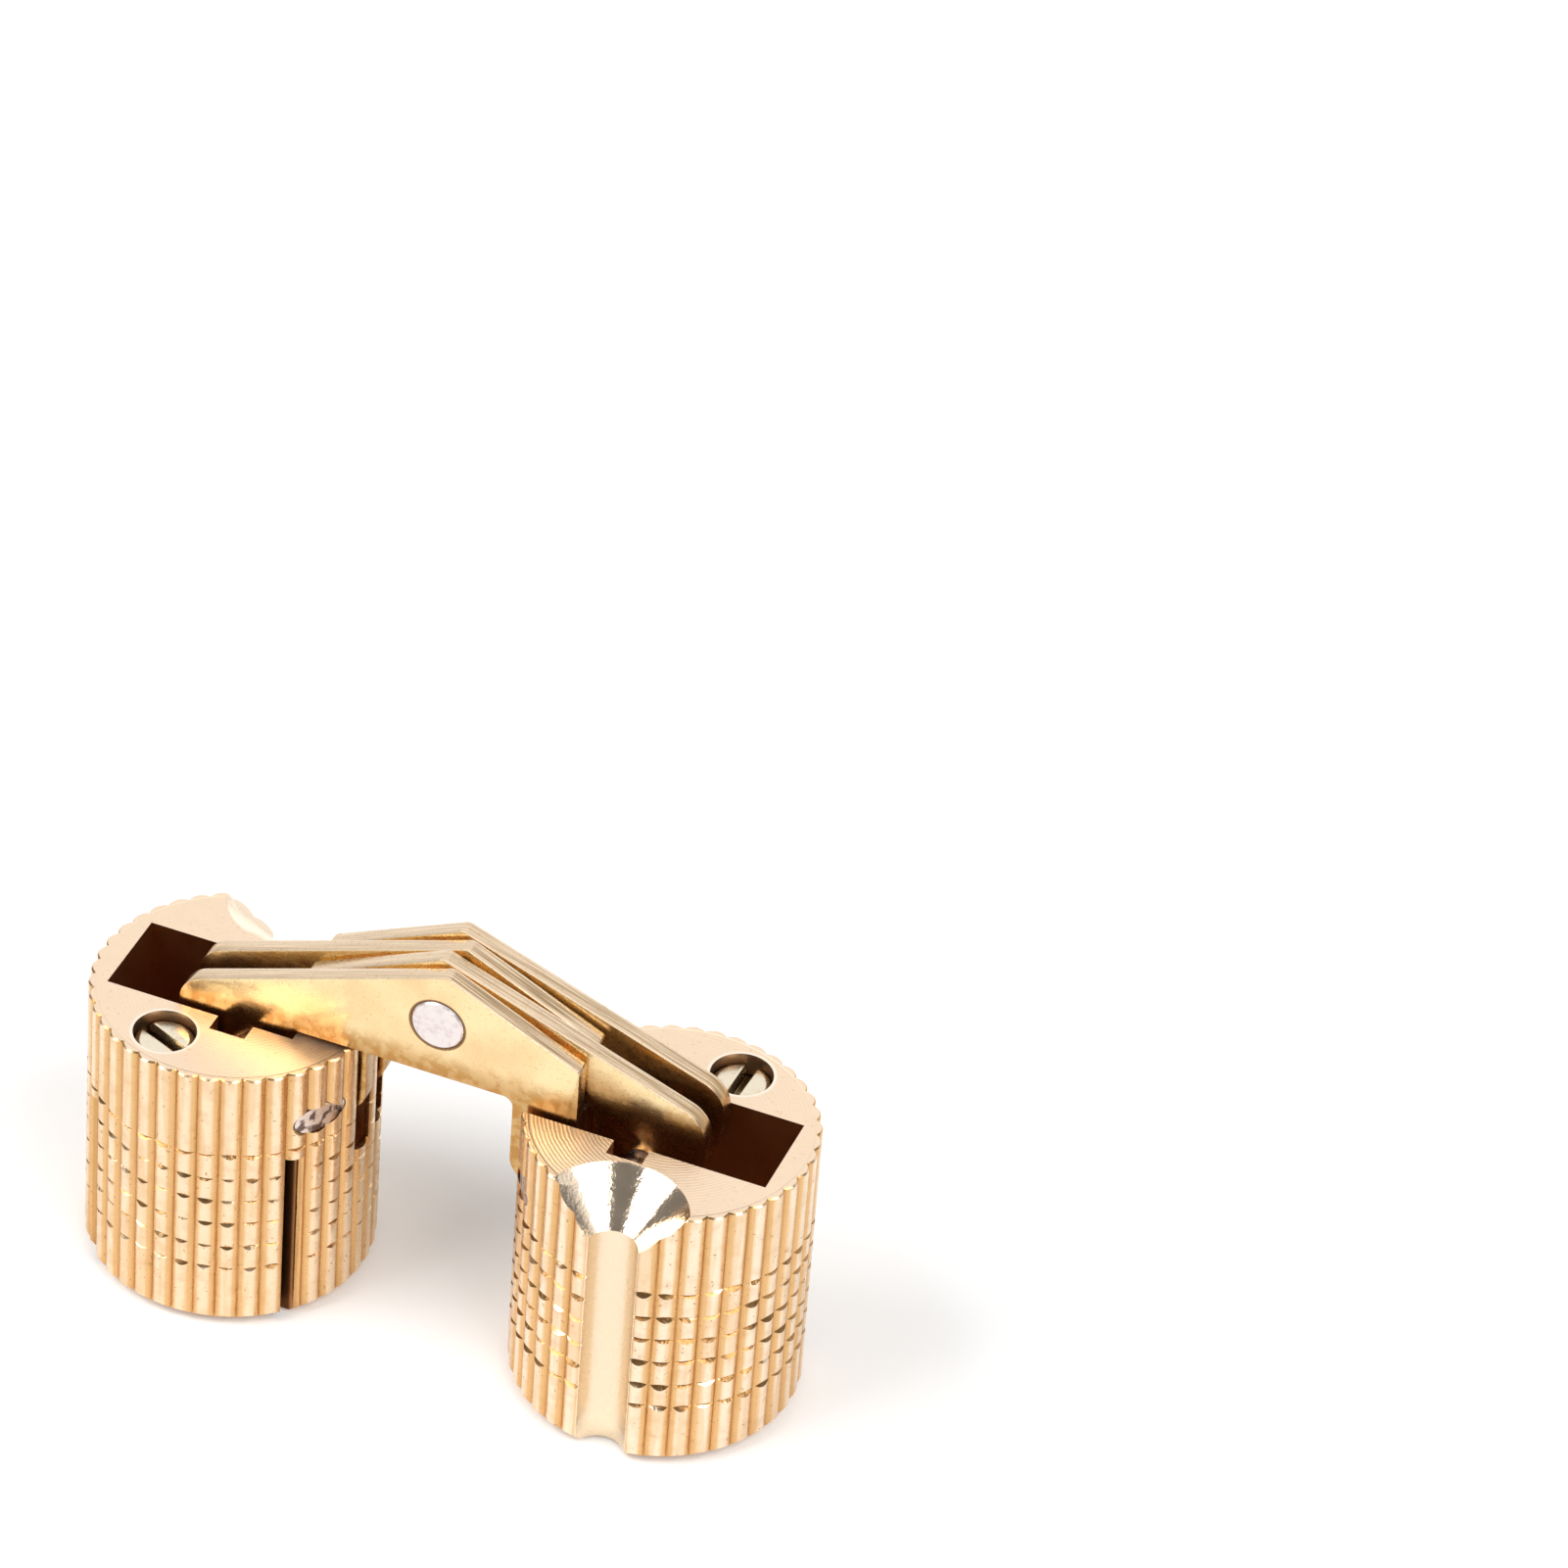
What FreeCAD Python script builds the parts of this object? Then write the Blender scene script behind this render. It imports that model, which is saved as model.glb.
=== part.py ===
import FreeCAD, Part
import itertools
import math
import os
import Sketcher

# Invisible barrel hinge, opened to 180 degrees: two knurled brass barrels joined by a scissor of four plates.
# Millimetres, +Z up. The origin lies midway between the barrels, on the plane that their bases stand on.
# A barrel's own frame has its origin on the axis at the base and +X pointing at the other barrel.

SIZES = {
    # Barrels
    "barrel_diameter": 14.0,
    "barrel_length": 15.0,
    "axis_spacing": 22.0,
    "base_chamfer": 0.5,
    "dish_radius": 5.6,
    "dish_depth": 3.0,
    # Straight knurl
    "knurl_count": 40,
    "knurl_depth": 0.22,
    "knurl_width": 0.72,
    # Link slot, its ends measured in from the barrel's wall, and the slits that let the pivoted plates through
    "slot_outer": 1.4,
    "slot_inner": 3.1,
    "slit_depth": 6.8,
    # Link plates
    "plate_thickness": 0.88,
    "plate_gap": 0.26,
    "peak_rise": 2.9,
    "peak_shift": 0.35,
    "shoulder_drop": 0.3,
    "face_clearance": 0.3,
    "wall_clearance": 0.35,
    "toe_length": 3.2,
    "toe_rise": 3.3,
    "heel_length": 2.6,
    "heel_drop": 0.9,
    "sole_length": 1.8,
    "sole_drop": 1.6,
    "boss_radius": 1.3,
    "toe_round": 1.6,
    "sole_round": 0.9,
    "peak_round": 0.5,
    "shoulder_round": 0.25,
    "crook_round": 0.5,
    # Pins and rivet. The pivot's place and its ends' sink are measured in from the barrel's wall,
    # the guide pin's reach from the side of the slot
    "pin_fit": 0.03,
    "rivet_diameter": 2.6,
    "rivet_height": 3.3,
    "rivet_proud": 0.06,
    "rivet_chamfer": 0.08,
    "pivot_diameter": 1.4,
    "pivot_offset": 1.2,
    "pivot_depth": 3.2,
    "pivot_sink": 0.15,
    "guide_diameter": 1.4,
    "guide_offset": 1.0,
    "guide_depth": 2.1,
    "guide_reach": 0.45,
    "guide_clearance": 0.2,
    "guide_end_gap": 0.06,
    "closed_gap": 0.3,
    # Notch where each guide groove opens at the face; its reach stops this far short of the countersink
    "notch_reach": 0.1,
    "notch_depth": 2.6,
    # Set screw, this much nearer the slot than midway to the wall, and the saw cut whose flap it spreads
    "screw_diameter": 2.9,
    "screw_fit": 0.05,
    "screw_chamfer": 0.25,
    "screw_length": 6.0,
    "screw_sink": 0.4,
    "screw_tip": 1.1,
    "screw_tip_radius": 0.6,
    "screw_slot_width": 0.6,
    "screw_slot_depth": 0.8,
    "screw_hole_depth": 9.0,
    "screw_offset": 1.64,
    "screw_side": 0.205,
    "saw_width": 0.6,
    "saw_top": 5.2,
    # Half-round channel and countersink for the wood screw beside the barrel
    "channel_radius": 1.25,
    "sink_radius": 3.5,
}


class Size:
    """A length worked out from the sheet: its value now and the expression that keeps it bound."""

    def __init__(self, value, text):
        self.value = value
        self.text = text

    def joined(self, mark, other, value):
        text = other.text if isinstance(other, Size) else str(other)
        return Size(value, "(%s %s %s)" % (self.text, mark, text))

    def __add__(self, other):
        return self.joined("+", other, self.value + number(other))

    def __sub__(self, other):
        return self.joined("-", other, self.value - number(other))

    def __mul__(self, other):
        return self.joined("*", other, self.value * number(other))

    def __truediv__(self, other):
        return self.joined("/", other, self.value / number(other))

    def __neg__(self):
        return self * -1


def number(length):
    return length.value if isinstance(length, Size) else float(length)


doc = FreeCAD.newDocument("barrel_hinge")
sheet = doc.addObject("Spreadsheet::Sheet", "sizes")
for row, (alias, amount) in enumerate(SIZES.items(), start=1):
    sheet.set("A%d" % row, alias)
    sheet.set("B%d" % row, str(amount))
    sheet.setAlias("B%d" % row, alias)
doc.recompute()
size = {alias: Size(float(sheet.get(alias)), "sizes." + alias) for alias in SIZES}

# Lengths that several pieces share
BARREL_RADIUS = size["barrel_diameter"] / 2
LENGTH = size["barrel_length"]
HALF_SPACING = size["axis_spacing"] / 2
PLATE_PITCH = size["plate_thickness"] + size["plate_gap"]
SLOT_HALF = (size["plate_thickness"] * 4 + size["plate_gap"] * 5) / 2
SLIT_HALF = size["plate_thickness"] / 2 + size["plate_gap"]
SLOT_OUTER = BARREL_RADIUS - size["slot_outer"]
SLOT_INNER = BARREL_RADIUS - size["slot_inner"]
PIVOT_OFFSET = BARREL_RADIUS - size["pivot_offset"]
GUIDE_REACH = SLOT_HALF + size["guide_reach"]
NOTCH_REACH = BARREL_RADIUS - size["sink_radius"] - size["notch_reach"]
SCREW_SIDE = (SLOT_HALF + BARREL_RADIUS) / 2 - size["screw_side"]
PIVOT_RADIUS = size["pivot_diameter"] / 2
GUIDE_RADIUS = size["guide_diameter"] / 2
RIVET_RADIUS = size["rivet_diameter"] / 2
SCREW_RADIUS = size["screw_diameter"] / 2
RIVET_LEVEL = LENGTH + size["rivet_height"]
PIVOT_LEVEL = LENGTH - size["pivot_depth"]
GUIDE_LEVEL = LENGTH - size["guide_depth"]
# Where the plates lie across the stack, front to back
PLATE_PLACE = [PLATE_PITCH * step for step in (-1.5, -0.5, 0.5, 1.5)]
# Points nearer than this are the same point
MEETING = 1e-4
# A cut that takes less than this volume has missed its solid
LEAST_CUT = 1e-6


def bind(thing, path, length):
    """Ties one property of an object to the sheet."""
    if isinstance(length, Size):
        thing.setExpression(path, length.text)


def new_body(name):
    body = doc.addObject("PartDesign::Body", name)
    body.Label = name
    return body


def place(body, x=0, y=0, z=0, turn=FreeCAD.Rotation()):
    body.Placement = FreeCAD.Placement(FreeCAD.Vector(number(x), number(y), number(z)), turn)
    for axis, length in (("x", x), ("y", y), ("z", z)):
        bind(body, "Placement.Base." + axis, length)


def new_sketch(body, name, plane, level=0):
    """A sketch on one of the body's own planes, shifted along that plane's normal."""
    sketch = body.newObject("Sketcher::SketchObject", name)
    sketch.AttachmentSupport = (next(o for o in body.Origin.OriginFeatures if o.Role == plane), "")
    sketch.MapMode = "FlatFace"
    sketch.AttachmentOffset = FreeCAD.Placement(FreeCAD.Vector(0, 0, number(level)), FreeCAD.Rotation())
    bind(sketch, "AttachmentOffset.Base.z", level)
    return sketch


def hold(sketch, kind, geometry, point, length):
    """Holds one coordinate of a sketch point from the origin, or on the axis when it is zero."""
    if number(length) == 0:
        axis = -2 if kind == "DistanceX" else -1
        sketch.addConstraint(Sketcher.Constraint("PointOnObject", geometry, point, axis))
        return
    held = sketch.addConstraint(Sketcher.Constraint(kind, -1, 1, geometry, point, number(length)))
    bind(sketch, "Constraints[%d]" % held, length)


def polygon(sketch, corners):
    first = sketch.GeometryCount
    spots = [FreeCAD.Vector(number(x), number(y), 0) for x, y in corners]
    for here, there in zip(spots, spots[1:] + spots[:1]):
        sketch.addGeometry(Part.LineSegment(here, there), False)
    for step, (x, y) in enumerate(corners):
        after = first + (step + 1) % len(corners)
        sketch.addConstraint(Sketcher.Constraint("Coincident", first + step, 2, after, 1))
        hold(sketch, "DistanceX", first + step, 1, x)
        hold(sketch, "DistanceY", first + step, 1, y)


def rectangle(sketch, left, right, low, high):
    polygon(sketch, [(left, low), (right, low), (right, high), (left, high)])


def circle(sketch, x, y, radius):
    spot = FreeCAD.Vector(number(x), number(y), 0)
    ring = sketch.addGeometry(Part.Circle(spot, FreeCAD.Vector(0, 0, 1), number(radius)), False)
    held = sketch.addConstraint(Sketcher.Constraint("Radius", ring, number(radius)))
    bind(sketch, "Constraints[%d]" % held, radius)
    hold(sketch, "DistanceX", ring, 3, x)
    hold(sketch, "DistanceY", ring, 3, y)


def extrude(body, kind, name, sketch, depth=None, both=False):
    """Pad or pocket: to a depth, or through all where none is given; both ways from the sketch if asked."""
    feature = body.newObject("PartDesign::" + kind, name)
    feature.Profile = sketch
    feature.SideType = "Symmetric" if both else "One side"
    feature.Type = "ThroughAll" if depth is None else "Length"
    if depth is not None:
        feature.Length = number(depth)
        bind(feature, "Length", depth)
    feature.Refine = False
    return feature


def revolve(body, name, sketch):
    feature = body.newObject("PartDesign::Revolution", name)
    feature.Profile = sketch
    feature.ReferenceAxis = (sketch, ["V_Axis"])
    feature.Angle = 360
    return feature


class Linkage:
    """Path of a guide pin in its barrel, seen from the side: X toward the other barrel, Z up from the base.

    Folding from open to closed turns the pivoted plates and the guided plates at a constant ratio,
    and the two turns together make half a revolution.
    """

    def __init__(self):
        self.pivot = (PIVOT_OFFSET.value, PIVOT_LEVEL.value)
        rivet = (HALF_SPACING.value, RIVET_LEVEL.value)
        guide = (size["guide_offset"].value, GUIDE_LEVEL.value)
        self.pivot_arm = math.dist(rivet, self.pivot)
        self.guide_arm = math.dist(rivet, guide)
        self.pivot_open = math.atan2(self.pivot[1] - rivet[1], self.pivot[0] - rivet[0])
        self.guide_open = math.atan2(guide[1] - rivet[1], guide[0] - rivet[0])
        drop = size["pivot_depth"].value + size["closed_gap"].value / 2
        pivot_closed = -math.asin(drop / self.pivot_arm)
        self.pivot_turn = pivot_closed - self.pivot_open
        self.guide_turn = math.pi - self.pivot_turn

    def guide_pin(self, share):
        """The guide pin's centre at a share of the fold, 0 open and 1 closed."""
        pivot_angle = self.pivot_open + self.pivot_turn * share
        guide_angle = self.guide_open + self.guide_turn * share
        x = self.pivot[0] - self.pivot_arm * math.cos(pivot_angle) + self.guide_arm * math.cos(guide_angle)
        z = self.pivot[1] - self.pivot_arm * math.sin(pivot_angle) + self.guide_arm * math.sin(guide_angle)
        return FreeCAD.Vector(x, z, 0)


def arc_slot(sketch, start, middle, end, half_width):
    """Slot of constant width along the arc through three points, with round ends."""
    spine = Part.Arc(start, middle, end).toShape().Curve
    centre = spine.Center
    for reach in (-half_width, half_width):
        edge = [centre + (spot - centre) * (1 + reach / spine.Radius) for spot in (start, middle, end)]
        sketch.addGeometry(Part.Arc(*edge), False)
    for tip, away in ((start, -1), (end, 1)):
        outward = (tip - centre).normalize() * half_width
        along = FreeCAD.Vector(-outward.y, outward.x, 0) * away
        if (middle - tip).dot(along) > 0:
            along = -along
        sketch.addGeometry(Part.Arc(tip - outward, tip + along, tip + outward), False)
    # Join the four arcs where their ends meet
    ends = [(arc, point) for arc in range(sketch.GeometryCount) for point in (1, 2)]
    for here, there in itertools.combinations(ends, 2):
        if sketch.getPoint(*here).distanceToPoint(sketch.getPoint(*there)) < MEETING:
            sketch.addConstraint(Sketcher.Constraint("Coincident", here[0], here[1], there[0], there[1]))


def make_barrel(name, side):
    """One barrel. Side is -1 on the left and +1 on the right, which is the left one turned half round."""
    body = new_body(name)
    radius = BARREL_RADIUS
    chamfer = size["base_chamfer"]

    blank = new_sketch(body, name + "_blank_profile", "XZ_Plane")
    polygon(blank, [(0, size["dish_depth"]), (size["dish_radius"], 0), (radius - chamfer, 0),
                    (radius, chamfer), (radius, LENGTH), (0, LENGTH)])
    revolve(body, name + "_blank", blank)

    ridge = new_sketch(body, name + "_knurl_profile", "XY_Plane", LENGTH)
    outer = radius + size["knurl_depth"]
    half_cut = size["knurl_width"]
    polygon(ridge, [(radius - size["knurl_depth"], 0), (outer, half_cut), (outer, -half_cut)])
    cut = extrude(body, "Pocket", name + "_knurl_cut", ridge)
    knurl = body.newObject("PartDesign::PolarPattern", name + "_knurl")
    knurl.Originals = [cut]
    knurl.Axis = (ridge, ["N_Axis"])
    knurl.Angle = 360
    knurl.Occurrences = int(size["knurl_count"].value)
    bind(knurl, "Occurrences", size["knurl_count"])
    knurl.Refine = False
    body.Tip = knurl

    slot = new_sketch(body, name + "_slot_profile", "XY_Plane", LENGTH)
    rectangle(slot, -SLOT_OUTER, SLOT_INNER, -SLOT_HALF, SLOT_HALF)
    extrude(body, "Pocket", name + "_slot", slot)

    # The pivoted plates of this barrel are the second and fourth, counted along +Y of its own frame
    slits = new_sketch(body, name + "_slits_profile", "XY_Plane", LENGTH)
    for middle in (PLATE_PLACE[1], PLATE_PLACE[3]):
        rectangle(slits, SLOT_INNER - size["wall_clearance"], radius + size["boss_radius"],
                  middle - SLIT_HALF, middle + SLIT_HALF)
    extrude(body, "Pocket", name + "_slits", slits, size["slit_depth"])

    groove_half = GUIDE_RADIUS + size["guide_clearance"]
    notch = new_sketch(body, name + "_notch_profile", "XY_Plane", LENGTH)
    rectangle(notch, size["guide_offset"] - groove_half, size["guide_offset"] + groove_half,
              -NOTCH_REACH, NOTCH_REACH)
    extrude(body, "Pocket", name + "_notch", notch, size["notch_depth"])

    groove = new_sketch(body, name + "_groove_profile", "XZ_Plane")
    path = Linkage()
    arc_slot(groove, path.guide_pin(0), path.guide_pin(0.5), path.guide_pin(1), groove_half.value)
    extrude(body, "Pocket", name + "_groove", groove, GUIDE_REACH * 2, both=True)

    pivot = new_sketch(body, name + "_pivot_profile", "XZ_Plane")
    circle(pivot, PIVOT_OFFSET, PIVOT_LEVEL, PIVOT_RADIUS + size["pin_fit"])
    extrude(body, "Pocket", name + "_pivot_hole", pivot, both=True)

    tapped = new_sketch(body, name + "_screw_profile", "XY_Plane", LENGTH)
    circle(tapped, -size["screw_offset"], -SCREW_SIDE, SCREW_RADIUS + size["screw_fit"])
    extrude(body, "Pocket", name + "_screw_hole", tapped, size["screw_hole_depth"])

    saw = new_sketch(body, name + "_saw_profile", "YZ_Plane")
    rectangle(saw, -SCREW_SIDE - size["saw_width"] / 2, -SCREW_SIDE + size["saw_width"] / 2,
              -chamfer, LENGTH - size["saw_top"])
    extrude(body, "Pocket", name + "_saw_cut", saw, both=True)

    channel = new_sketch(body, name + "_channel_profile", "XY_Plane", LENGTH)
    circle(channel, 0, radius, size["channel_radius"])
    extrude(body, "Pocket", name + "_channel", channel)

    # Countersink about the channel's axis, as deep as it widens, so its wall stands at 45 degrees
    sink = body.newObject("PartDesign::SubtractiveCone", name + "_countersink")
    sink.AttachmentSupport = (next(o for o in body.Origin.OriginFeatures if o.Role == "XY_Plane"), "")
    sink.MapMode = "FlatFace"
    depth = size["sink_radius"] - size["channel_radius"]
    for path_name, length in (("Radius1", size["channel_radius"]), ("Radius2", size["sink_radius"]),
                              ("Height", depth), ("AttachmentOffset.Base.y", radius),
                              ("AttachmentOffset.Base.z", LENGTH - depth)):
        bind(sink, path_name, length)
    sink.Refine = False

    turn = FreeCAD.Rotation(FreeCAD.Vector(0, 0, 1), 0 if side < 0 else 180)
    place(body, HALF_SPACING * side, 0, 0, turn)
    return body


def round_corners(body, feature, name, corners, radius):
    """Rounds the edges that stand across the plate at the given corners."""
    doc.recompute()
    spots = [FreeCAD.Vector(number(x), 0, number(z)) for x, z in corners]
    edges = []
    for index, edge in enumerate(feature.Shape.Edges, start=1):
        middle = edge.CenterOfMass
        if any(abs(middle.x - spot.x) < MEETING and abs(middle.z - spot.z) < MEETING for spot in spots):
            edges.append("Edge%d" % index)
    fillet = body.newObject("PartDesign::Fillet", name)
    fillet.Base = (feature, edges)
    fillet.Radius = radius.value
    bind(fillet, "Radius", radius)
    return fillet


def make_plate(index):
    """One link plate, drawn about the rivet: guided arm to the left, pivoted arm to the right."""
    name = "link_plate_%d" % (index + 1)
    body = new_body(name)
    guide_x = size["guide_offset"] - HALF_SPACING
    guide_z = -(size["rivet_height"] + size["guide_depth"])
    pivot_x = HALF_SPACING - PIVOT_OFFSET
    pivot_z = -(size["rivet_height"] + size["pivot_depth"])
    end_x = HALF_SPACING - SLOT_INNER
    belly_z = size["face_clearance"] - size["rivet_height"]

    peak = (size["peak_shift"], size["peak_rise"])
    shoulder = (end_x, -size["shoulder_drop"])
    crook = (pivot_x - size["boss_radius"], belly_z)
    armpit = (-(end_x + size["wall_clearance"]), belly_z)
    sole = (guide_x + size["sole_length"], guide_z - size["sole_drop"])
    heel = (guide_x - size["heel_length"], guide_z - size["heel_drop"])
    toe = (guide_x - size["toe_length"], guide_z + size["toe_rise"])
    outline = new_sketch(body, name + "_outline", "XZ_Plane")
    polygon(outline, [peak, toe, heel, sole, armpit, crook, (crook[0], pivot_z),
                      (pivot_x, pivot_z - size["boss_radius"]), (end_x, pivot_z), shoulder])
    blank = extrude(body, "Pad", name + "_blank", outline, size["plate_thickness"], both=True)
    rounds = (("toe", [toe, heel], "toe_round"), ("sole", [sole], "sole_round"), ("peak", [peak], "peak_round"),
              ("shoulder", [shoulder], "shoulder_round"), ("crook", [crook, armpit], "crook_round"))
    for part_name, corners, radius in rounds:
        blank = round_corners(body, blank, "%s_%s_round" % (name, part_name), corners, size[radius])

    boss = new_sketch(body, name + "_boss_profile", "XZ_Plane")
    circle(boss, pivot_x, pivot_z, size["boss_radius"])
    eye = extrude(body, "Pad", name + "_boss", boss, size["plate_thickness"], both=True)
    # The eye is flush with the plate, so their faces merge
    eye.Refine = True

    holes = new_sketch(body, name + "_holes_profile", "XZ_Plane")
    circle(holes, 0, 0, RIVET_RADIUS + size["pin_fit"])
    circle(holes, pivot_x, pivot_z, PIVOT_RADIUS + size["pin_fit"])
    circle(holes, guide_x, guide_z, GUIDE_RADIUS + size["pin_fit"])
    drilled = extrude(body, "Pocket", name + "_holes", holes, both=True)
    # The two halves of each hole's wall merge as well
    drilled.Refine = True

    # Odd plates reach into the left barrel, even ones are turned about and reach into the right one
    turn = FreeCAD.Rotation(FreeCAD.Vector(0, 0, 1), 180 * (index % 2))
    place(body, 0, PLATE_PLACE[index], RIVET_LEVEL, turn)
    return body


def make_pin(name, radius, length, x, z, chamfer=None):
    """A turned pin lying across the plates, with plain ends where no chamfer is given."""
    body = new_body(name)
    profile = new_sketch(body, name + "_profile", "XZ_Plane")
    half = length / 2
    if chamfer is None:
        corners = [(0, -half), (radius, -half), (radius, half), (0, half)]
    else:
        corners = [(0, -half), (radius - chamfer, -half), (radius, chamfer - half),
                   (radius, half - chamfer), (radius - chamfer, half), (0, half)]
    polygon(profile, corners)
    revolve(body, name + "_turned", profile)
    place(body, x, 0, z, FreeCAD.Rotation(FreeCAD.Vector(1, 0, 0), 90))
    return body


def make_pivot_pin(name, side):
    """The pin that carries a barrel's pivoted plates, its ends trimmed to the curve of the barrel's wall."""
    body = make_pin(name, PIVOT_RADIUS, BARREL_RADIUS * 2, (HALF_SPACING - PIVOT_OFFSET) * side, PIVOT_LEVEL)
    trim = new_sketch(body, name + "_trim_profile", "XZ_Plane")
    for radius in (BARREL_RADIUS - size["pivot_sink"], BARREL_RADIUS * 2):
        circle(trim, PIVOT_OFFSET * side, 0, radius)
    extrude(body, "Pocket", name + "_trim", trim, both=True)
    return body


def make_set_screw(name, side):
    """Slotted set screw with a tapered tip, standing in its barrel's tapped hole."""
    body = new_body(name)
    profile = new_sketch(body, name + "_profile", "XZ_Plane")
    chamfer = size["screw_chamfer"]
    top = size["screw_length"]
    polygon(profile, [(0, 0), (size["screw_tip_radius"], 0), (SCREW_RADIUS, size["screw_tip"]),
                      (SCREW_RADIUS, top - chamfer), (SCREW_RADIUS - chamfer, top), (0, top)])
    revolve(body, name + "_turned", profile)
    slot = new_sketch(body, name + "_slot_profile", "XY_Plane", top)
    half = size["screw_slot_width"] / 2
    rectangle(slot, -SCREW_RADIUS, SCREW_RADIUS, -half, half)
    extrude(body, "Pocket", name + "_slot", slot, size["screw_slot_depth"])
    slot_angle = SLOT_ANGLE[side]
    place(body, (HALF_SPACING + size["screw_offset"]) * side, SCREW_SIDE * side,
          LENGTH - size["screw_sink"] - top, FreeCAD.Rotation(FreeCAD.Vector(0, 0, 1), slot_angle))
    return body


# How far the driver slots of the left and right set screws are turned from +X
SLOT_ANGLE = {-1: -47, 1: 68}

pieces = []
for side_name, side in (("left", -1), ("right", 1)):
    pieces.append(make_barrel("barrel_" + side_name, side))
    pieces.append(make_pivot_pin("pivot_pin_" + side_name, side))
    pieces.append(make_pin("guide_pin_" + side_name, GUIDE_RADIUS, (GUIDE_REACH - size["guide_end_gap"]) * 2,
                           (HALF_SPACING - size["guide_offset"]) * side, GUIDE_LEVEL))
    pieces.append(make_set_screw("set_screw_" + side_name, side))
for plate_index in range(len(PLATE_PLACE)):
    pieces.append(make_plate(plate_index))
stack_width = PLATE_PITCH * 3 + size["plate_thickness"]
pieces.append(make_pin("centre_rivet", RIVET_RADIUS, stack_width + size["rivet_proud"] * 2, 0, RIVET_LEVEL,
                       size["rivet_chamfer"]))

doc.recompute()

for thing in doc.Objects:
    if "Invalid" in thing.State or "Error" in thing.State:
        raise RuntimeError("%s did not build: %s" % (thing.Name, thing.State))
    if thing.TypeId in ("PartDesign::Pocket", "PartDesign::SubtractiveCone"):
        if thing.Shape.Volume > thing.BaseFeature.Shape.Volume - LEAST_CUT:
            raise RuntimeError("%s cut nothing" % thing.Name)
for piece in pieces:
    if piece.Shape.isNull() or not piece.Shape.isValid() or len(piece.Shape.Solids) != 1:
        raise RuntimeError("%s is not one valid solid" % piece.Label)

os.makedirs("parts", exist_ok=True)
for piece in pieces:
    piece.Shape.exportStep("parts/%s.step" % piece.Label)
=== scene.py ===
import math

import bmesh
import bpy
from mathutils import Matrix, Vector


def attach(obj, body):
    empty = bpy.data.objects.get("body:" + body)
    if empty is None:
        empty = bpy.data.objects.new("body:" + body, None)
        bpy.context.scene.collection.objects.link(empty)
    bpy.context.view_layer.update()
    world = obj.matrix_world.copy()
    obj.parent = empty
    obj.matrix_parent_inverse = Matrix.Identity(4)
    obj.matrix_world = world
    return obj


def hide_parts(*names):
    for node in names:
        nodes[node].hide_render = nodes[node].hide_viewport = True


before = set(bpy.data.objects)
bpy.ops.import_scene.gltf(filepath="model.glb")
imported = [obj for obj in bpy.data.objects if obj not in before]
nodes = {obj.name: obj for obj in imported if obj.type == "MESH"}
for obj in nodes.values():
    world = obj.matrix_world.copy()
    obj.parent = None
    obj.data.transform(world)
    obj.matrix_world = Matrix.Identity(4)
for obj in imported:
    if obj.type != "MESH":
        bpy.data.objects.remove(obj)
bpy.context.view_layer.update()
scene = bpy.context.scene
MM = 0.001

# The hinge's own sizes, in millimetres
HALF_SPACING = 11.0
BARREL_RADIUS = 7.0
BARREL_LENGTH = 15.0
RIVET_LEVEL = 18.3
RIVET_RADIUS = 1.3
PLATE_PITCH = 1.14
CHANNEL_RADIUS = 1.25
SINK_RADIUS = 3.5
SCREW_SINK = 0.4
SCREW_OFFSET = 1.64
SCREW_SIDE = 4.5
SCREW_HOLE_RADIUS = 1.5
SAW_TOP = 9.8
SAW_HALF = 0.3
# Ridges of the knurl, rounded just inside the solid's own:
# how many, their crest and valley, and facets on each
RIDGE_COUNT = 40
CREST_RADIUS = 6.975
VALLEY_RADIUS = 6.76
RIDGE_SEGMENTS = 8
RIM_CHAMFER = 0.08
# Distance from a barrel's axis beyond which a point lies on its knurled wall
WALL_START = 6.6
# Ring cuts across the knurl: how many, the lowest one's height and their pitch; width and depth by barrel
RING_COUNT = 6
RING_LOW = 3.45
RING_PITCH = 1.38
RING_WIDTHS = {-1: 0.25, 1: 0.34}
RING_DEPTHS = {-1: 0.1, 1: 0.165}
TOP_RING_DEPTH = 0.16
RING_SEGMENTS = 240
# Unevenness of the rings: swing in millimetres, waves in a turn, and shift from ring to ring
LEVEL_WAVES = ((0.04, 3, 2.1), (0.03, 13, 1.0))
DEPTH_WAVES = ((0.02, 7, 1.3), (0.02, 19, 0.7))
WIDTH_WAVES = ((0.09, 11, 1.7),)
# Broken edge of the link plates and, more worn, of the set screws
EDGE_BREAK = 0.05
SCREW_BREAK = 0.09
# Degrees from the slot of each solid set screw to the slot in the photograph
LEFT_SCREW_TURN = 24.0
RIGHT_SCREW_TURN = 20.0
# Edges that turn by more degrees than this are broken
SHARP_TURN = 40
# Edges that turn by more degrees than these are shaded sharp, on the barrels and on the small pieces
BARREL_CREASE = 24
PIECE_CREASE = 30
# Faces whose normal is nearer to the vertical than this are shaded flat
LEVEL_FACE = 0.99
# Points nearer than this, in metres, are one point
WELD = 1e-6
# Height at which the plates begin to dip into the slots, and where they are wholly down
DIP_START = 17.0
DIP_END = 15.5


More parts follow.
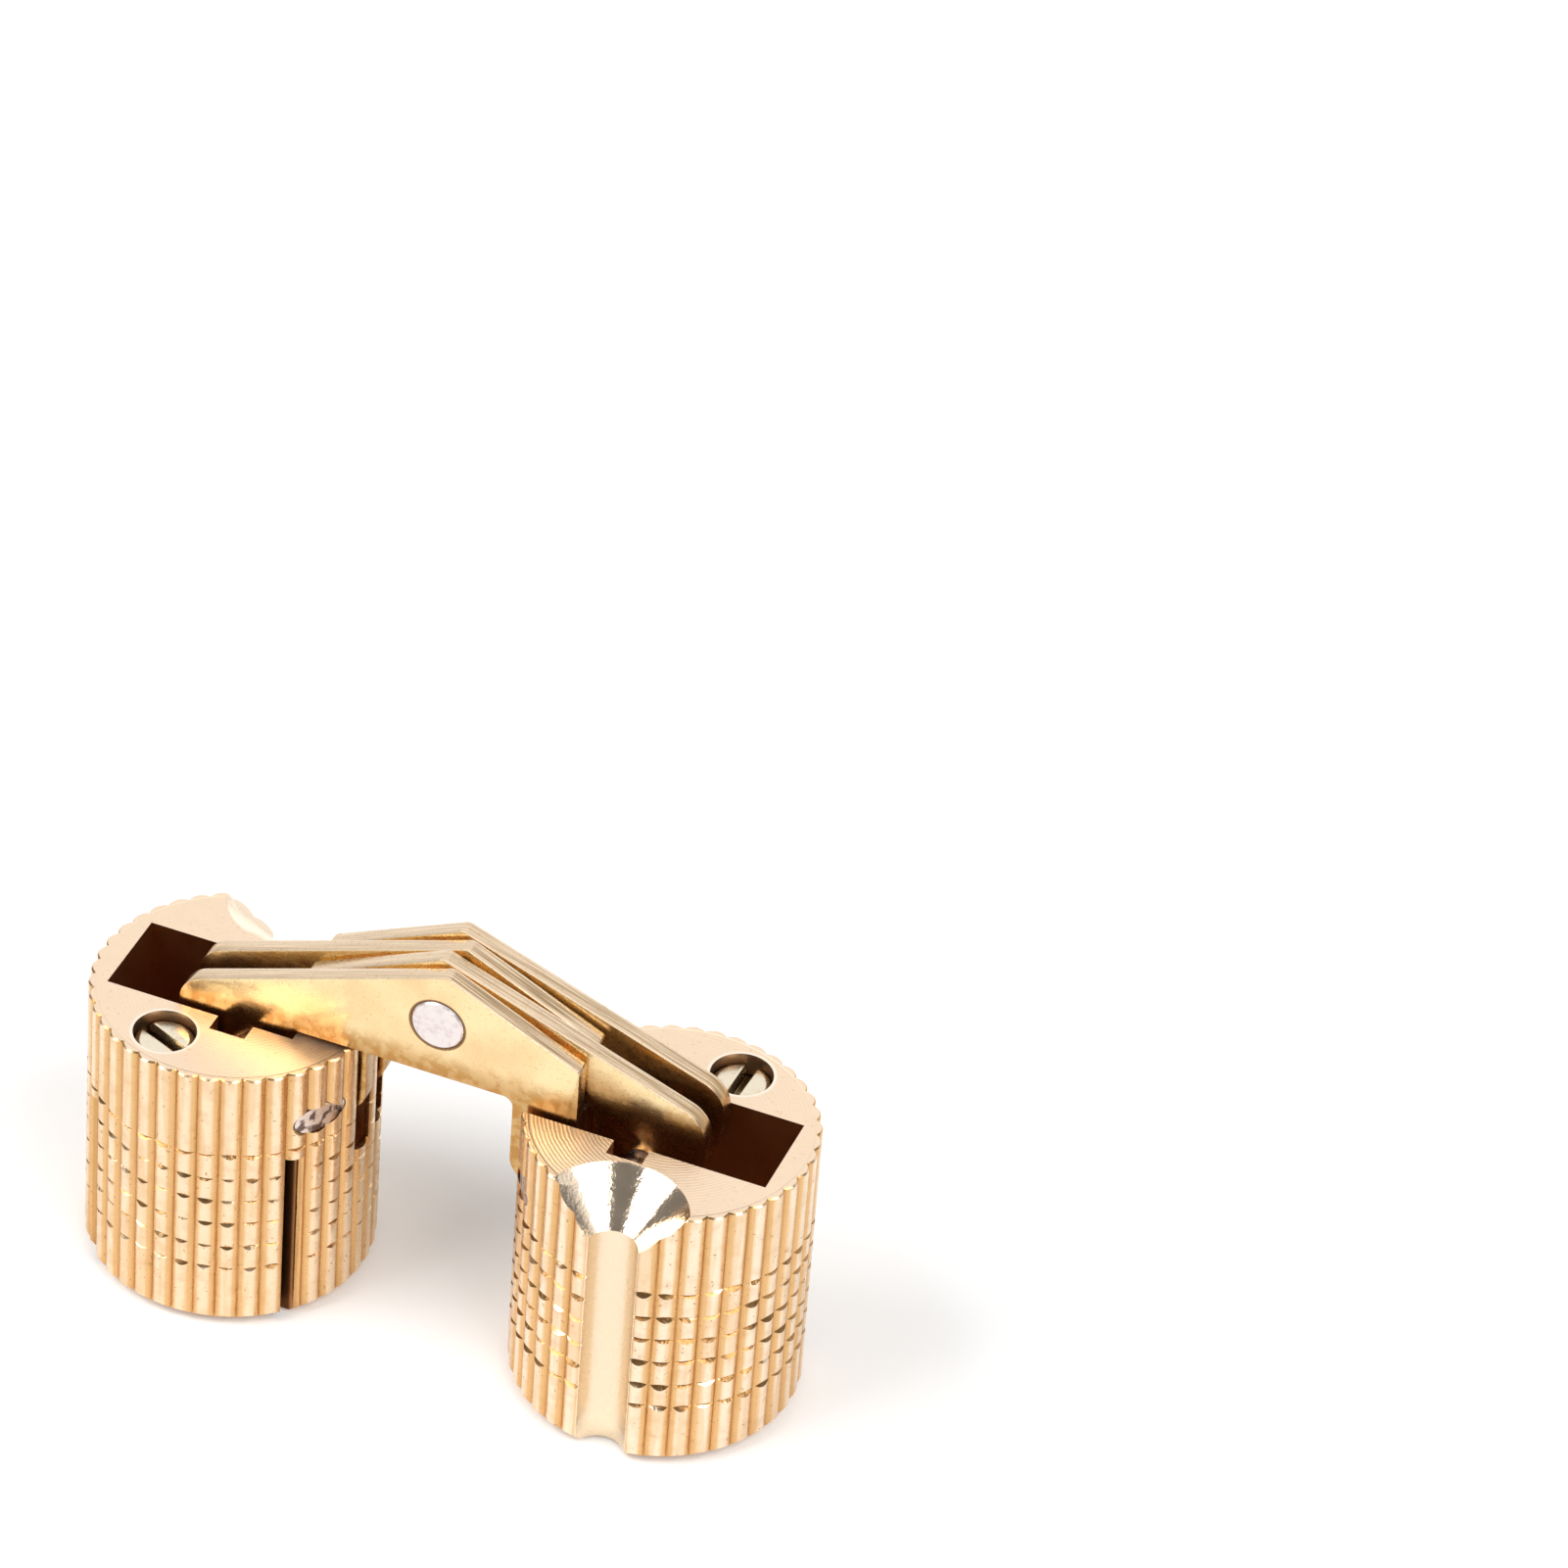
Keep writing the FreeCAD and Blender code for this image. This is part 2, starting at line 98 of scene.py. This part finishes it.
class Field:
    """A number worked out at each point of a surface: one output of a material's nodes."""

    def __init__(self, tree, socket):
        self.tree = tree
        self.socket = socket

    def maths(self, operation, *others):
        return maths(self.tree, operation, self, *others)

    def __add__(self, other):
        return self.maths("ADD", other)

    def __sub__(self, other):
        return self.maths("SUBTRACT", other)

    def __mul__(self, other):
        return self.maths("MULTIPLY", other)

    def __abs__(self):
        return self.maths("ABSOLUTE")

    def rest(self):
        return maths(self.tree, "SUBTRACT", 1.0, self)

    def above(self, low, high):
        """0 below low, 1 above high, smooth between; the other way round when low is the greater."""
        node = self.tree.nodes.new("ShaderNodeMapRange")
        node.interpolation_type = "SMOOTHSTEP"
        flip = low > high
        self.tree.links.new(self.socket, node.inputs["Value"])
        node.inputs["From Min"].default_value = min(low, high)
        node.inputs["From Max"].default_value = max(low, high)
        node.inputs["To Min"].default_value = 1.0 if flip else 0.0
        node.inputs["To Max"].default_value = 0.0 if flip else 1.0
        return Field(self.tree, node.outputs[0])


def maths(tree, operation, *values):
    node = tree.nodes.new("ShaderNodeMath")
    node.operation = operation
    for socket, value in zip(node.inputs, values):
        if isinstance(value, Field):
            tree.links.new(value.socket, socket)
        else:
            socket.default_value = value
    return Field(tree, node.outputs[0])


def split(tree, vector):
    node = tree.nodes.new("ShaderNodeSeparateXYZ")
    tree.links.new(vector, node.inputs[0])
    return [Field(tree, out) for out in node.outputs]


def hypot(a, b):
    return (a * a + b * b).maths("SQRT")


class Metal:
    """A metal whose colour, roughness and relief follow from the point on the piece, in millimetres."""

    def __init__(self, name, tone, roughness):
        self.material = bpy.data.materials.new(name)
        self.material.use_nodes = True
        self.tree = self.material.node_tree
        self.shader = self.tree.nodes["Principled BSDF"]
        self.shader.inputs["Metallic"].default_value = 1.0
        self.shader.inputs["Roughness"].default_value = roughness
        self.shader.inputs["Base Color"].default_value = tone + (1.0,)
        self.place = self.tree.nodes.new("ShaderNodeTexCoord")
        self.tone = tone
        self.relief = None
        self.x, self.y, self.z = (axis * (1 / MM) for axis in split(self.tree, self.place.outputs["Object"]))
        self.nx, self.ny, self.nz = split(self.tree, self.place.outputs["Normal"])

    def noise(self, grain, detail=2.0, stretch=(1, 1, 1)):
        """Noise with grains about so many millimetres across, drawn out along each axis by the stretch."""
        scale = self.tree.nodes.new("ShaderNodeMapping")
        scale.inputs["Scale"].default_value = [1 / (MM * grain * s) for s in stretch]
        self.tree.links.new(self.place.outputs["Object"], scale.inputs["Vector"])
        node = self.tree.nodes.new("ShaderNodeTexNoise")
        node.inputs["Scale"].default_value = 1.0
        node.inputs["Detail"].default_value = detail
        self.tree.links.new(scale.outputs[0], node.inputs["Vector"])
        return Field(self.tree, node.outputs["Fac"])

    def tint(self, amount, tone):
        """Shifts the colour towards a tone by an amount that varies over the surface."""
        node = self.tree.nodes.new("ShaderNodeMix")
        node.data_type = "RGBA"
        colour = [s for s in node.inputs if s.type == "RGBA"]
        base = self.shader.inputs["Base Color"]
        if base.is_linked:
            self.tree.links.new(base.links[0].from_socket, colour[0])
        else:
            colour[0].default_value = self.tone + (1.0,)
        colour[1].default_value = tone + (1.0,)
        self.tree.links.new(amount.socket, node.inputs[0])
        self.tree.links.new([s for s in node.outputs if s.type == "RGBA"][0], base)

    def rough(self, field):
        self.tree.links.new(field.socket, self.shader.inputs["Roughness"])

    def raise_by(self, height, depth):
        """Relief on the surface: a height from 0 to 1, worth so many millimetres."""
        node = self.tree.nodes.new("ShaderNodeBump")
        node.inputs["Distance"].default_value = depth * MM
        self.tree.links.new(height.socket, node.inputs["Height"])
        if self.relief:
            self.tree.links.new(self.relief, node.inputs["Normal"])
        self.relief = node.outputs[0]
        self.tree.links.new(self.relief, self.shader.inputs["Normal"])


# Tones of the brass and steel, and of the light and shade painted on them
GOLD = (0.70, 0.43, 0.195)
PALE = (0.94, 0.74, 0.55)
DEEP = (0.55, 0.30, 0.11)
SILVER = (0.97, 0.79, 0.60)
RUST = (0.36, 0.18, 0.06)
RECESS_SHADE = (0.54, 0.24, 0.09)
SHADE = (0.28, 0.18, 0.11)
HOLE_RIM_HIGHLIGHT = (1.0, 0.88, 0.74)
CHANNEL = (0.82, 0.67, 0.49)
SAW_SLIT_SHADE = (0.12, 0.045, 0.015)
PLATE = (0.89, 0.69, 0.39)
SHEARED = (0.30, 0.185, 0.075)
PLATE_SLOT_SHADE = (0.46, 0.255, 0.08)
PLATE_SLOT_REFLECTION = (0.44, 0.22, 0.06)
RIVET_SEAT = (0.26, 0.14, 0.06)
SCREW = (0.90, 0.80, 0.63)
SCREW_SLOT_SHADE = (0.20, 0.14, 0.075)
STEEL = (0.77, 0.70, 0.68)
DULL_STEEL = (0.60, 0.50, 0.50)
WORN_STEEL = (0.16, 0.12, 0.11)
# Level of the noise above which a barrel's ring cuts are painted in shade, more of them on the right barrel
CUT_SHADE = {-1: 0.42, 1: 0.34}
# Painted highlight along a barrel's ridge crests, paler on the right barrel for its whiter reflections
CREST_HIGHLIGHT = {-1: (0.92, 0.745, 0.545), 1: (0.94, 0.805, 0.64)}


def barrel_metal(side):
    """Knurled brass of one barrel, told apart by where the point lies on it."""
    metal = Metal("barrel_brass_" + ("left" if side < 0 else "right"), GOLD, 0.28)
    grain = metal.noise(0.7, 3.0)
    speck = metal.noise(0.22, 2.0)
    x = (metal.x - side * HALF_SPACING) * -side
    y = metal.y * -side
    radius = hypot(x, y)
    from_channel = hypot(x, y - BARREL_RADIUS)
    face = metal.z.above(BARREL_LENGTH - 0.06, BARREL_LENGTH - 0.01) * metal.nz.above(0.6, 0.9)
    cone = from_channel.above(SINK_RADIUS + 0.05, SINK_RADIUS) * metal.nz.above(0.4, 0.6) * face.rest()
    cone = cone * metal.z.above(BARREL_LENGTH - SINK_RADIUS + 0.9, BARREL_LENGTH - SINK_RADIUS + 1.0)
    polished = from_channel.above(CHANNEL_RADIUS + 0.08, CHANNEL_RADIUS + 0.03).maths("MAXIMUM", cone)
    wall = radius.above(WALL_START, WALL_START + 0.08) * polished.rest()
    crest = radius.above(CREST_RADIUS - 0.095, CREST_RADIUS - 0.015) * wall
    valley = radius.above(VALLEY_RADIUS + 0.1, VALLEY_RADIUS + 0.01) * wall
    # Painted shade in the saw slit, its edge made ragged by noise
    ragged = abs(y + SCREW_SIDE) - speck * 0.12
    saw_slit_shade = ragged.above(SAW_HALF, SAW_HALF - 0.04) * metal.z.above(SAW_TOP + 0.1, SAW_TOP)
    saw_slit_shade = saw_slit_shade * radius.above(WALL_START + 0.02, WALL_START - 0.15)
    from_screw = hypot(x + SCREW_OFFSET, y + SCREW_SIDE)
    hole = from_screw.above(SCREW_HOLE_RADIUS + 0.1, SCREW_HOLE_RADIUS + 0.05)
    hole_rim_highlight = from_screw.above(SCREW_HOLE_RADIUS + 0.18, SCREW_HOLE_RADIUS + 0.1) * face
    inside = radius.above(WALL_START + 0.08, WALL_START) * face.rest() * polished.rest()
    inside = inside * metal.nz.above(-0.35, -0.2)

    streak = metal.noise(0.16, 2.0, (1, 1, 16))
    stripe = metal.noise(0.5, 1.0, (1, 1, 12))
    patch = metal.noise(1.5, 2.0)
    notch = metal.nz.above(0.2, 0.45) * wall * metal.z.above(BARREL_LENGTH - 0.6, BARREL_LENGTH - 1.0)
    # Painted highlight along the ridge crests
    metal.tint(crest * 0.75, CREST_HIGHLIGHT[side])
    # Painted shade in the valleys of the knurl
    metal.tint(valley * 0.85, DEEP)
    metal.tint(grain.above(0.45, 0.75) * wall * 0.3, DEEP)
    metal.tint(stripe.above(0.48, 0.62) * wall * 0.4, GOLD)
    metal.tint(speck.above(0.66, 0.74) * wall * 0.7, RUST)
    # Upward facets of the ring cuts: painted shade as dark patches, painted glints as pale patches
    metal.tint(patch.above(CUT_SHADE[side], CUT_SHADE[side] + 0.08) * notch * 0.85, RUST)
    metal.tint(patch.above(0.4, 0.34) * notch * 0.8, SILVER)
    # The top face is tinted pale: partly its turned finish, partly painted light that makes the top paler
    # than the walls
    metal.tint(face, PALE)
    metal.tint(speck.above(0.62, 0.72) * face * 0.35, GOLD)
    # Painted highlight round the rim of the set-screw hole
    metal.tint(hole_rim_highlight, HOLE_RIM_HIGHLIGHT)
    metal.tint(polished, CHANNEL)
    metal.tint(cone, SILVER)
    # Painted shade inside the slots, bores and holes
    metal.tint(inside, RECESS_SHADE)
    metal.tint(inside * hole, SHADE)
    metal.tint(saw_slit_shade, SAW_SLIT_SHADE)
    turned = (radius * 34.0 + grain * 5.0).maths("SINE") * 0.5 + 0.5
    metal.rough(grain * 0.16 + 0.2 + face * 0.16 + inside * 0.1 - cone * 0.16)
    metal.raise_by(turned * face, 0.007)
    metal.raise_by(streak * (wall + cone * 0.5), 0.02)
    metal.raise_by(grain * wall, 0.03)
    return metal.material


def link_metal():
    metal = Metal("link_brass", PLATE, 0.24)
    grain = metal.noise(0.5, 4.0)
    speck = metal.noise(0.18, 2.0)
    cloud = metal.noise(3.0, 2.0)
    drawn = metal.noise(0.1, 2.0, (9, 1, 3))
    flat = abs(metal.ny).above(0.8, 0.95)
    ring = hypot(metal.x, metal.z - RIVET_LEVEL).above(RIVET_RADIUS + 0.17, RIVET_RADIUS + 0.11) * flat
    metal.tint(cloud.above(0.4, 0.75) * 0.5, GOLD)
    across = abs((metal.y * (1 / PLATE_PITCH)).maths("FRACT") - 0.5) * PLATE_PITCH
    lines = metal.noise(0.06, 2.0, (60, 1, 60)).above(0.36, 0.62)
    sheared = lines * across.above(0.37, 0.27) * flat.rest()
    metal.tint(flat.rest() * 0.8, PALE)
    metal.tint(sheared * (metal.nx.above(0.2, 0.45) * 0.55 + 0.3), SHEARED)
    # Painted shade on the plates where they dip into the slots
    metal.tint(metal.z.above(DIP_START, DIP_END) * (grain * 0.5 + 0.6), PLATE_SLOT_SHADE)
    metal.tint(speck.above(0.58, 0.72) * 0.35, DEEP)
    # Mottled painted reflection of the dark slot on the plates' sides where they dip into it
    dipped = metal.z.above(DIP_START, DIP_END - 0.3) * flat
    metal.tint(grain.above(0.44, 0.58) * dipped * 0.8, PLATE_SLOT_REFLECTION)
    metal.tint(ring, RIVET_SEAT)
    metal.rough(grain * 0.2 + 0.17)
    metal.raise_by(grain * flat, 0.014)
    metal.raise_by(drawn, 0.005)
    return metal.material


def screw_metal():
    metal = Metal("screw_brass", SCREW, 0.22)
    grain = metal.noise(0.4, 3.0)
    deep = metal.z.above(BARREL_LENGTH - SCREW_SINK - 0.35, BARREL_LENGTH - SCREW_SINK - 0.6)
    metal.tint(grain.above(0.5, 0.8) * 0.4, GOLD)
    # Painted shade low in the slot and down the sides of the screw
    metal.tint(deep, SCREW_SLOT_SHADE)
    metal.rough(grain * 0.2 + 0.15)
    metal.raise_by(grain, 0.015)
    return metal.material


def pin_metal():
    metal = Metal("pin_steel", STEEL, 0.36)
    grain = metal.noise(0.3, 4.0)
    blotch = metal.noise(0.45, 2.0)
    high = metal.z.above(BARREL_LENGTH, BARREL_LENGTH + 1.0)
    worn = blotch.above(0.5, 0.62) * high.rest()
    metal.tint(grain.above(0.46, 0.7) * 0.5, DULL_STEEL)
    metal.tint(worn, WORN_STEEL)
    metal.rough(grain * 0.3 + 0.2)
    metal.raise_by(grain, 0.02)
    return metal.material


def new_object(name, form):
    """Puts a finished bmesh in the scene as an object of its own."""
    mesh = bpy.data.meshes.new(name)
    form.to_mesh(mesh)
    form.free()
    thing = bpy.data.objects.new(name, mesh)
    scene.collection.objects.link(thing)
    return thing


def welded(node):
    """Copy of a solid's mesh with its split points joined."""
    form = bmesh.new()
    form.from_mesh(nodes[node].data)
    bmesh.ops.remove_doubles(form, verts=form.verts, dist=WELD)
    return form


def lathe(form, side, loops, closed):
    """Joins loops of (radius, height) points round a barrel's axis; closed ones are rings, others capped."""
    steps = len(loops[0])
    rows = []
    for loop in loops:
        row = []
        for step, (radius, height) in enumerate(loop):
            turn = 2 * math.pi * step / steps
            row.append(form.verts.new(((side * HALF_SPACING + radius * math.cos(turn)) * MM,
                                       radius * math.sin(turn) * MM, height * MM)))
        rows.append(row)
    pairs = list(zip(rows, rows[1:] + rows[:1])) if closed else list(zip(rows, rows[1:]))
    for low, high in pairs:
        for step in range(steps):
            after = (step + 1) % steps
            form.faces.new((low[step], low[after], high[after], high[step]))
    if not closed:
        form.faces.new(rows[0])
        form.faces.new(rows[-1])


def ridged_blank(side):
    """Bar with rounded ridges and a broken rim at the face, longer than the barrel that is cut from it."""
    over = 0.5
    outline = []
    for step in range(RIDGE_COUNT * RIDGE_SEGMENTS):
        share = abs(step % RIDGE_SEGMENTS / RIDGE_SEGMENTS * 2 - 1)
        outline.append(CREST_RADIUS - (CREST_RADIUS - VALLEY_RADIUS) * share ** 2)
    form = bmesh.new()
    levels = ((-over, 0.0), (BARREL_LENGTH - RIM_CHAMFER, 0.0), (BARREL_LENGTH + over, RIM_CHAMFER + over))
    lathe(form, side, [[(radius - inset, height) for radius in outline] for height, inset in levels], False)
    bmesh.ops.recalc_face_normals(form, faces=form.faces)
    return new_object("ridged_blank", form)


def uneven(waves, turn, ring, shift=0.0):
    """Sum of waves round a barrel, in millimetres."""
    return sum(swing * math.sin(count * turn + step * ring + shift) for swing, count, step in waves)


def ring_cutter(side):
    """V-section rings round the knurl, uneven in height, width and depth as rolled cuts are."""
    over = 0.12
    form = bmesh.new()
    for ring in range(RING_COUNT):
        deep = TOP_RING_DEPTH if ring == RING_COUNT - 1 else RING_DEPTHS[side]
        tip, above, below = [], [], []
        for step in range(RING_SEGMENTS):
            turn = 2 * math.pi * step / RING_SEGMENTS
            level = RING_LOW + RING_PITCH * ring + uneven(LEVEL_WAVES, turn, ring)
            depth = deep + uneven(DEPTH_WAVES, turn, ring)
            width = RING_WIDTHS[side] + uneven(WIDTH_WAVES, turn, ring, side)
            reach = width / 2 * (depth + over) / depth
            tip.append((CREST_RADIUS - depth, level))
            above.append((CREST_RADIUS + over, level + reach))
            below.append((CREST_RADIUS + over, level - reach))
        lathe(form, side, [tip, above, below], True)
    bmesh.ops.recalc_face_normals(form, faces=form.faces)
    return new_object("ring_cutter", form)


def cut_by(piece, operation, tool):
    cut = piece.modifiers.new(operation.lower(), "BOOLEAN")
    cut.operation = operation
    cut.solver = "MANIFOLD"
    cut.object = tool


def finish_piece(piece, node, body, material, angle):
    """Gives a piece its shading and metal, and lets it stand for its node."""
    mesh = piece.data
    for attribute in [a for a in mesh.attributes if a.name == "custom_normal"]:
        mesh.attributes.remove(attribute)
    mesh.materials.clear()
    mesh.materials.append(material)
    for polygon in mesh.polygons:
        polygon.use_smooth = abs(polygon.normal.z) < LEVEL_FACE
    mesh.set_sharp_from_angle(angle=math.radians(angle))
    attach(piece, body)
    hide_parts(node)


def knurled_barrel(node, side, body):
    """The barrel cut from a ridged bar that rings cross, with every slot and hole of the solid."""
    piece = new_object(node + "_cross_cut", welded(node))
    blank = ridged_blank(side)
    rings = ring_cutter(side)
    cut_by(blank, "DIFFERENCE", rings)
    cut_by(piece, "INTERSECT", blank)
    made = bpy.data.meshes.new_from_object(piece.evaluated_get(bpy.context.evaluated_depsgraph_get()))
    piece.modifiers.clear()
    piece.data = made
    for tool in (blank, rings):
        bpy.data.objects.remove(tool)
    finish_piece(piece, node, body, barrel_metal(side), BARREL_CREASE)


def break_edges(form, size):
    """Rounds the sharp edges of a form by so many millimetres."""
    bmesh.ops.dissolve_limit(form, angle_limit=math.radians(1), verts=form.verts, edges=form.edges)
    limit = math.radians(SHARP_TURN)
    sharp = [edge for edge in form.edges if edge.is_manifold and edge.calc_face_angle() > limit]
    bmesh.ops.bevel(form, geom=sharp, offset=size * MM, segments=2, profile=0.5, affect="EDGES",
                    clamp_overlap=True)


def tumbled_plate(node, body, material):
    """A link plate with its sharp edges broken, as stamped and tumbled plate has them."""
    form = welded(node)
    break_edges(form, EDGE_BREAK)
    finish_piece(new_object(node + "_tumbled", form), node, body, material, PIECE_CREASE)


def turned_screw(node, side, body, material, turn):
    """A set screw with its edges broken, turned on its own axis so that its slot lies as photographed."""
    form = welded(node)
    axis = Vector((side * (HALF_SPACING + SCREW_OFFSET) * MM, side * SCREW_SIDE * MM, 0.0))
    bmesh.ops.rotate(form, verts=form.verts, cent=axis, matrix=Matrix.Rotation(math.radians(turn), 3, "Z"))
    break_edges(form, SCREW_BREAK)
    finish_piece(new_object(node + "_turned", form), node, body, material, PIECE_CREASE)


def dress(material, *names):
    """Gives a metal to solids that keep their own shape."""
    for name in names:
        nodes[name].data.materials.clear()
        nodes[name].data.materials.append(material)


knurled_barrel("barrel_left", -1, "left_barrel")
knurled_barrel("barrel_right", 1, "right_barrel")
link_brass = link_metal()
for plate, links in enumerate(("right_links", "left_links", "right_links", "left_links"), start=1):
    tumbled_plate("link_plate_%d" % plate, links, link_brass)
screw_brass = screw_metal()
turned_screw("set_screw_left", -1, "left_set_screw", screw_brass, LEFT_SCREW_TURN)
turned_screw("set_screw_right", 1, "right_set_screw", screw_brass, RIGHT_SCREW_TURN)
dress(pin_metal(), "pivot_pin_left", "pivot_pin_right", "guide_pin_left", "guide_pin_right", "centre_rivet")

# Floor of white paper
floor_mesh = bpy.data.meshes.new("floor")
FLOOR_REACH = 3.0
FLOOR_DROP = 0.0002
corners = [(x * FLOOR_REACH, y * FLOOR_REACH, 0) for x, y in ((-1, -1), (1, -1), (1, 1), (-1, 1))]
floor_mesh.from_pydata(corners, [], [(0, 1, 2, 3)])
floor = bpy.data.objects.new("floor", floor_mesh)
floor.location.z = -FLOOR_DROP
scene.collection.objects.link(floor)
paper = bpy.data.materials.new("paper")
paper.use_nodes = True
paper_shader = paper.node_tree.nodes["Principled BSDF"]
paper_shader.inputs["Base Color"].default_value = (0.94, 0.94, 0.94, 1.0)
paper_shader.inputs["Roughness"].default_value = 0.9
paper_shader.inputs["Specular IOR Level"].default_value = 0.0
paper_shader.inputs["Emission Color"].default_value = (1.0, 1.0, 1.0, 1.0)
paper_shader.inputs["Emission Strength"].default_value = 0.15
floor_mesh.materials.append(paper)

# White studio, darker low at the sides and at the front between the two lamps, which bright metal mirrors
DARK_PART = 0.2
DIFFUSE_PART = 0.4
world = bpy.data.worlds.new("studio")
scene.world = world
world.use_nodes = True
sky = world.node_tree
backdrop = sky.nodes["Background"]
backdrop.inputs["Color"].default_value = (1.0, 1.0, 1.0, 1.0)
aim = sky.nodes.new("ShaderNodeTexCoord")
rays = sky.nodes.new("ShaderNodeLightPath")
aim_x, aim_y, aim_z = split(sky, aim.outputs["Generated"])
front = aim_y.above(-0.15, -0.5) * aim_z.above(0.95, 0.8)
sides = abs(aim_x).above(0.5, 0.75) * aim_z.above(0.62, 0.45) * aim_y.above(0.6, 0.4)
mirrored = front.maths("MAXIMUM", sides).rest() * (1 - DARK_PART) + DARK_PART
seen = Field(sky, rays.outputs["Is Camera Ray"])
gloss = Field(sky, rays.outputs["Is Glossy Ray"])
strength = seen + seen.rest() * (gloss * mirrored + gloss.rest() * DIFFUSE_PART)
sky.links.new(strength.socket, backdrop.inputs["Strength"])


def direction(azimuth, elevation):
    """Unit vector from the hinge; azimuth 0 is the front, and it grows towards +X."""
    a, e = math.radians(azimuth), math.radians(elevation)
    return Vector((math.sin(a) * math.cos(e), -math.cos(a) * math.cos(e), math.sin(e)))


def soft_lamp(name, azimuth, elevation, distance, size, power):
    data = bpy.data.lights.new(name, "AREA")
    data.size = size
    data.energy = power
    lamp = bpy.data.objects.new(name, data)
    away = direction(azimuth, elevation)
    lamp.location = away * distance
    lamp.rotation_euler = away.to_track_quat("Z", "Y").to_euler()
    scene.collection.objects.link(lamp)


soft_lamp("key", azimuth=-52, elevation=46, distance=1.2, size=0.8, power=9.5)
soft_lamp("fill", azimuth=62, elevation=48, distance=1.2, size=0.8, power=8.0)

# Camera at the photograph's viewing angle, aimed so that the hinge lies low on the left of the frame
AZIMUTH = 21.8
ELEVATION = 40.25
ROLL = 2.9
FRAME_PIXELS = 1601.0
FOCAL_PIXELS = 8000.0
DISTANCE = 0.364
TARGET = Vector((0.0, 0.0, BARREL_LENGTH * MM))
TARGET_PIXEL = (463.0, 1075.0)

lens = bpy.data.cameras.new("camera")
lens.sensor_width = 36.0
lens.lens = FOCAL_PIXELS / FRAME_PIXELS * lens.sensor_width
lens.clip_start = 0.01
lens.clip_end = 20.0
camera = bpy.data.objects.new("camera", lens)
scene.collection.objects.link(camera)
back = direction(AZIMUTH, ELEVATION)
level = Vector((math.cos(math.radians(AZIMUTH)), math.sin(math.radians(AZIMUTH)), 0.0))
rise = back.cross(level)
roll = math.radians(ROLL)
right = level * math.cos(roll) + rise * math.sin(roll)
up = rise * math.cos(roll) - level * math.sin(roll)
straight = Matrix((right, up, back)).transposed()
middle = FRAME_PIXELS / 2
toward = Vector(((TARGET_PIXEL[0] - middle) / FOCAL_PIXELS, (middle - TARGET_PIXEL[1]) / FOCAL_PIXELS, -1.0))
aside = toward.rotation_difference(Vector((0.0, 0.0, -1.0))).to_matrix()
camera.matrix_world = Matrix.Translation(TARGET + back * DISTANCE) @ (straight @ aside).to_4x4()
scene.camera = camera

scene.view_settings.view_transform = "Standard"
